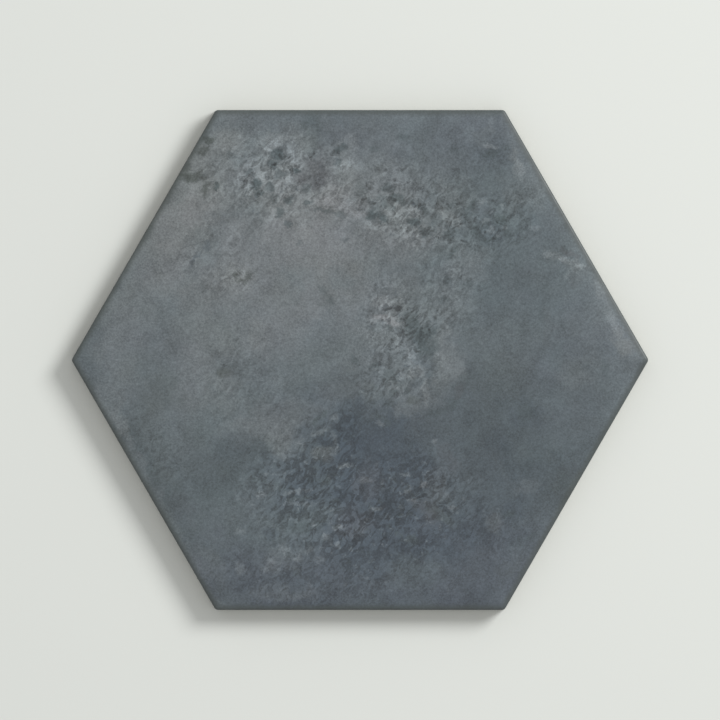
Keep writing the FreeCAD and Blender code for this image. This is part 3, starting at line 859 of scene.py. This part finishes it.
def glaze_colour(tree, place, grains, colours):
    """The colour of the full coat: clouds, dabs, spots and grains, and the unevenness over them."""
    wander, stain, mottle = wander_group(), stain_group(), mottle_group()
    broad = put_group(tree, wander, (-800, 0), place=place, scale=22.0, amount=0.0355)
    ragged = put_group(tree, wander, (-600, 0), place=broad, scale=95.0, amount=0.0213)
    glaze = spread_stains(tree, stain, CLOUDS, ragged, colours.slate, colours, 0.75, 0)
    torn = put_group(tree, wander, (-600, -1200), place=place, scale=150.0, amount=0.0133)
    glaze = spread_stains(tree, stain, DABS, torn, glaze, colours, 0.55, -1200)
    frayed = put_group(tree, wander, (-600, -2400), place=place, scale=380.0, amount=0.0053)
    glaze = spread_stains(tree, stain, SPOTS, frayed, glaze, colours, 0.50, -2400)

    swirled = stain_mask(tree, stain, SWIRLED, ragged, 0.65, 0, -3600)
    curdled = stain_mask(tree, stain, CURDLED, torn, 0.65, 1200, -3600)
    for index, (tone, scale, share, radius, strength, elsewhere) in enumerate(GRAINS):
        column = 11600 + 600 * index
        strewn = put_group(tree, grains, (column, -600), place=frayed, scale=scale, share=share, radius=radius)
        cover = levels(tree, (column, -900), swirled, at_low=elsewhere * strength, at_high=strength)
        mask = reckon(tree, (column + 200, -600), "MULTIPLY", strewn, cover)
        glaze = mix_tone(tree, (column + 400, 0), mask, glaze, getattr(colours, tone))

    curds = levels(tree, (14000, -900), curdled, "Curdled", at_low=0.02, at_high=0.46)
    swirls = levels(tree, (14000, -1200), swirled, "Swirled", at_low=0.03, at_high=0.64)
    tone = put_group(
        tree, mottle, (14200, -600), place=place, drawn_place=ragged,
        patches=0.62, wisps=0.66, curds=curds, swirls=swirls, grain=1.10,
    )
    toned = reckon_vector(tree, (14400, 0), "SCALE", glaze, tone, label="Uneven tone")
    tint = noise_node(tree, (14200, -900), place, "Drift of hue", 60.0, 2.0, 0.5).outputs["Color"]
    centred = reckon_vector(tree, (14400, -900), "SUBTRACT", tint, (0.5, 0.5, 0.5))
    drift = reckon_vector(tree, (14600, -900), "MULTIPLY_ADD", centred, (0.06, 0.03, 0.08), (1.0, 1.0, 1.0))
    return reckon_vector(tree, (14800, 0), "MULTIPLY", toned, drift)


def body_colour(tree, place, height, grains, colours):
    """The colour of the bare fired body, with mineral spots, and streaks of kiln wash on the ribs of the back."""
    grog = noise_node(tree, (14400, -1500), place, "Grog", 700.0, 2.0, 0.8).outputs["Fac"]
    tone = levels(tree, (14600, -1500), grog, at_low=0.45, at_high=1.55)
    body = reckon_vector(tree, (14800, -1500), "SCALE", colours.body, tone, label="Fired body")
    mineral = put_group(tree, grains, (14800, -1800), place=place, scale=650.0, share=0.16, radius=0.7)
    body = mix_tone(tree, (15000, -1500), mineral, body, colours.body_spot)
    on_ribs = levels(tree, (14800, -2100), height, "On the ribs", *RIB_TIPS, soft=True)
    rolled = new_tree_node(
        tree, "ShaderNodeMapping", (14400, -2400), "Along the rollers",
        inputs={"Vector": place, "Scale": (1.0, 0.12, 1.0)},
    ).outputs[0]
    brushed = noise_node(tree, (14600, -2400), rolled, "", 260.0, 3.0, 0.7).outputs["Fac"]
    streaks = levels(tree, (14800, -2400), brushed, "", 0.42, 0.68, 0.0, 0.75, soft=True)
    wash = reckon(tree, (15000, -2100), "MULTIPLY", streaks, on_ribs)
    return mix_tone(tree, (15200, -1500), wash, body, colours.kiln_wash)


def glaze_cover(tree, place, height):
    """1 where the glaze lies, and 0 below its ragged end on the sides."""
    run = noise_node(tree, (14800, -2700), place, "Ragged end of the glaze", 120.0, 3.0, 0.6).outputs["Fac"]
    reach = levels(tree, (15000, -2700), run, "", 0.3, 0.7, -1.2 * MM, 1.2 * MM)
    moved = reckon(tree, (15200, -2700), "ADD", height, reach)
    return levels(tree, (15400, -2700), moved, "Where the glaze ends", *GLAZE_END, soft=True)


def fired_tile_material(colours):
    """Matte cement-look glaze over the face and arris, and the bare fired body below it."""
    material = bpy.data.materials.new("FiredTile")
    material.use_nodes = True
    tree = material.node_tree
    tree.nodes.clear()
    place = new_tree_node(tree, "ShaderNodeTexCoord", (-1000, 0)).outputs["Object"]
    grains = grains_group()
    coat = glaze_colour(tree, place, grains, colours)
    height = height_of(tree, (14600, -300), place)
    full = levels(tree, (14800, -300), height, "Above the arris", *ARRIS_COAT_AND_SHADE, soft=True)
    # Painted shade: the glaze is darkened towards umber along the arris, partly for a thinner coat there and partly
    # standing in for the shade of the rounded arris.
    thin = levels(tree, (15000, -300), full, "Thin glaze and painted shade at the arris", at_low=0.68, at_high=0.0)
    coat = mix_tone(tree, (15200, 0), thin, coat, colours.umber)
    body = body_colour(tree, place, height, grains, colours)
    glazed = glaze_cover(tree, place, height)
    colour = mix_tone(tree, (15600, 0), glazed, body, coat)

    sheen = noise_node(tree, (15400, -600), place, "Uneven sheen", 70.0, 2.0, 0.65).outputs["Fac"]
    satin = levels(tree, (15600, -600), sheen, "", 0.3, 0.7, 0.44, 0.58)
    rough = new_tree_node(
        tree, "ShaderNodeMix", (15800, -600), data_type="FLOAT", inputs={0: glazed, 2: 0.88, 3: satin},
    )
    skin = noise_node(tree, (15400, -1000), place, "Skin of the glaze", 700.0, 2.0, 0.65).outputs["Fac"]
    pits = put_group(tree, grains, (15400, -1300), place=place, scale=260.0, share=0.20, radius=0.22)
    sunk = reckon(tree, (15600, -1000), "SUBTRACT", skin, pits, label="Pinholes")
    bump = new_tree_node(
        tree, "ShaderNodeBump", (15800, -1000), inputs={"Strength": 0.5, "Distance": 0.06 * MM, "Height": sunk},
    )
    shader = new_tree_node(tree, "ShaderNodeBsdfPrincipled", (16000, 0), inputs={
        "Base Color": colour, "Roughness": rough.outputs[0], "IOR": 1.5, "Normal": bump.outputs[0],
    })
    new_tree_node(tree, "ShaderNodeOutputMaterial", (16300, 0), inputs={"Surface": shader.outputs["BSDF"]})
    return material


class TILE_OT_press_tile(bpy.types.Operator):
    """Models the tile over its solid, with its cushioned edges, ribbed back and matte glaze"""

    bl_idname = "tile.press_tile"
    bl_label = "Press and Glaze the Tile"

    def execute(self, context):
        sizes = context.scene.tile_sizes
        tile = press_face_and_sides(sizes)
        round_corners(tile, sizes)
        back = press_back(sizes)
        close_back(tile, back)
        press_relief(tile, sizes)
        select_only(tile)
        bpy.ops.object.shade_smooth_by_angle(angle=math.radians(30))
        tile.data.materials.clear()
        tile.data.materials.append(fired_tile_material(context.scene.glaze_colours))
        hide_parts(NODE)
        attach(tile, "root")
        return {"FINISHED"}


class TILE_OT_set_stage(bpy.types.Operator):
    """Adds the plain floor, the soft light and the camera looking straight down"""

    bl_idname = "tile.set_stage"
    bl_label = "Set the Stage"

    def execute(self, context):
        look = context.scene.stage_look
        bpy.ops.object.select_all(action="DESELECT")
        gap = 0.05 * MM
        bpy.ops.mesh.primitive_plane_add(size=look.floor_width, location=(0, 0, -gap))
        floor = context.active_object
        floor.name = "floor"
        bpy.ops.object.transform_apply(location=True, rotation=True, scale=True)
        material = bpy.data.materials.new("PaleFloor")
        material.use_nodes = True
        shader = material.node_tree.nodes["Principled BSDF"]
        shader.inputs["Base Color"].default_value = (*look.floor_colour, 1)
        shader.inputs["Roughness"].default_value = 0.9
        shader.inputs["Specular IOR Level"].default_value = 0.1
        floor.data.materials.append(material)
        direction = Vector((
            math.cos(look.key_turn) * math.cos(look.key_height),
            math.sin(look.key_turn) * math.cos(look.key_height),
            math.sin(look.key_height),
        ))
        bpy.ops.object.light_add(type="AREA", location=direction * look.key_distance)
        key = context.active_object
        key.name = "key_light"
        key.data.shape = "DISK"
        key.data.size = look.key_size
        key.data.energy = look.key_power
        key.rotation_euler = direction.to_track_quat("Z", "Y").to_euler()
        key.visible_camera = False
        world = bpy.data.worlds.new("SoftRoom")
        world.use_nodes = True
        room = world.node_tree.nodes["Background"]
        room.inputs["Color"].default_value = (1.0, 1.0, 1.0, 1)
        room.inputs["Strength"].default_value = look.fill
        context.scene.world = world
        context.scene.view_settings.view_transform = "Standard"
        bpy.ops.object.camera_add(location=(0, 0, 1.0), rotation=(0, 0, 0))
        camera = context.active_object
        camera.name = "straight_down"
        camera.data.type = "ORTHO"
        camera.data.ortho_scale = look.picture_width
        context.scene.camera = camera
        return {"FINISHED"}


class TILE_PT_panel(bpy.types.Panel):
    """Lists the tile's sizes and colours, and the steps of making it"""

    bl_label = "Hexagon Floor Tile"
    bl_idname = "TILE_PT_panel"
    bl_space_type = "VIEW_3D"
    bl_region_type = "UI"
    bl_category = "Tile"

    def draw(self, context):
        scene = context.scene
        for groups, operator in (
            ((scene.tile_sizes, scene.glaze_colours), TILE_OT_press_tile),
            ((scene.stage_look,), TILE_OT_set_stage),
        ):
            for group in groups:
                for name in type(group).__annotations__:
                    self.layout.prop(group, name)
            self.layout.operator(operator.bl_idname)


CLASSES = (TileSizes, GlazeColours, StageLook, TILE_OT_press_tile, TILE_OT_set_stage, TILE_PT_panel)


def register():
    for cls in CLASSES:
        bpy.utils.register_class(cls)
    bpy.types.Scene.tile_sizes = PointerProperty(type=TileSizes)
    bpy.types.Scene.glaze_colours = PointerProperty(type=GlazeColours)
    bpy.types.Scene.stage_look = PointerProperty(type=StageLook)


def unregister():
    del bpy.types.Scene.stage_look
    del bpy.types.Scene.glaze_colours
    del bpy.types.Scene.tile_sizes
    for cls in reversed(CLASSES):
        bpy.utils.unregister_class(cls)


def main():
    """Makes the tile and its stage."""
    register()
    bpy.ops.tile.press_tile()
    bpy.ops.tile.set_stage()


if __name__ == "__main__":
    main()
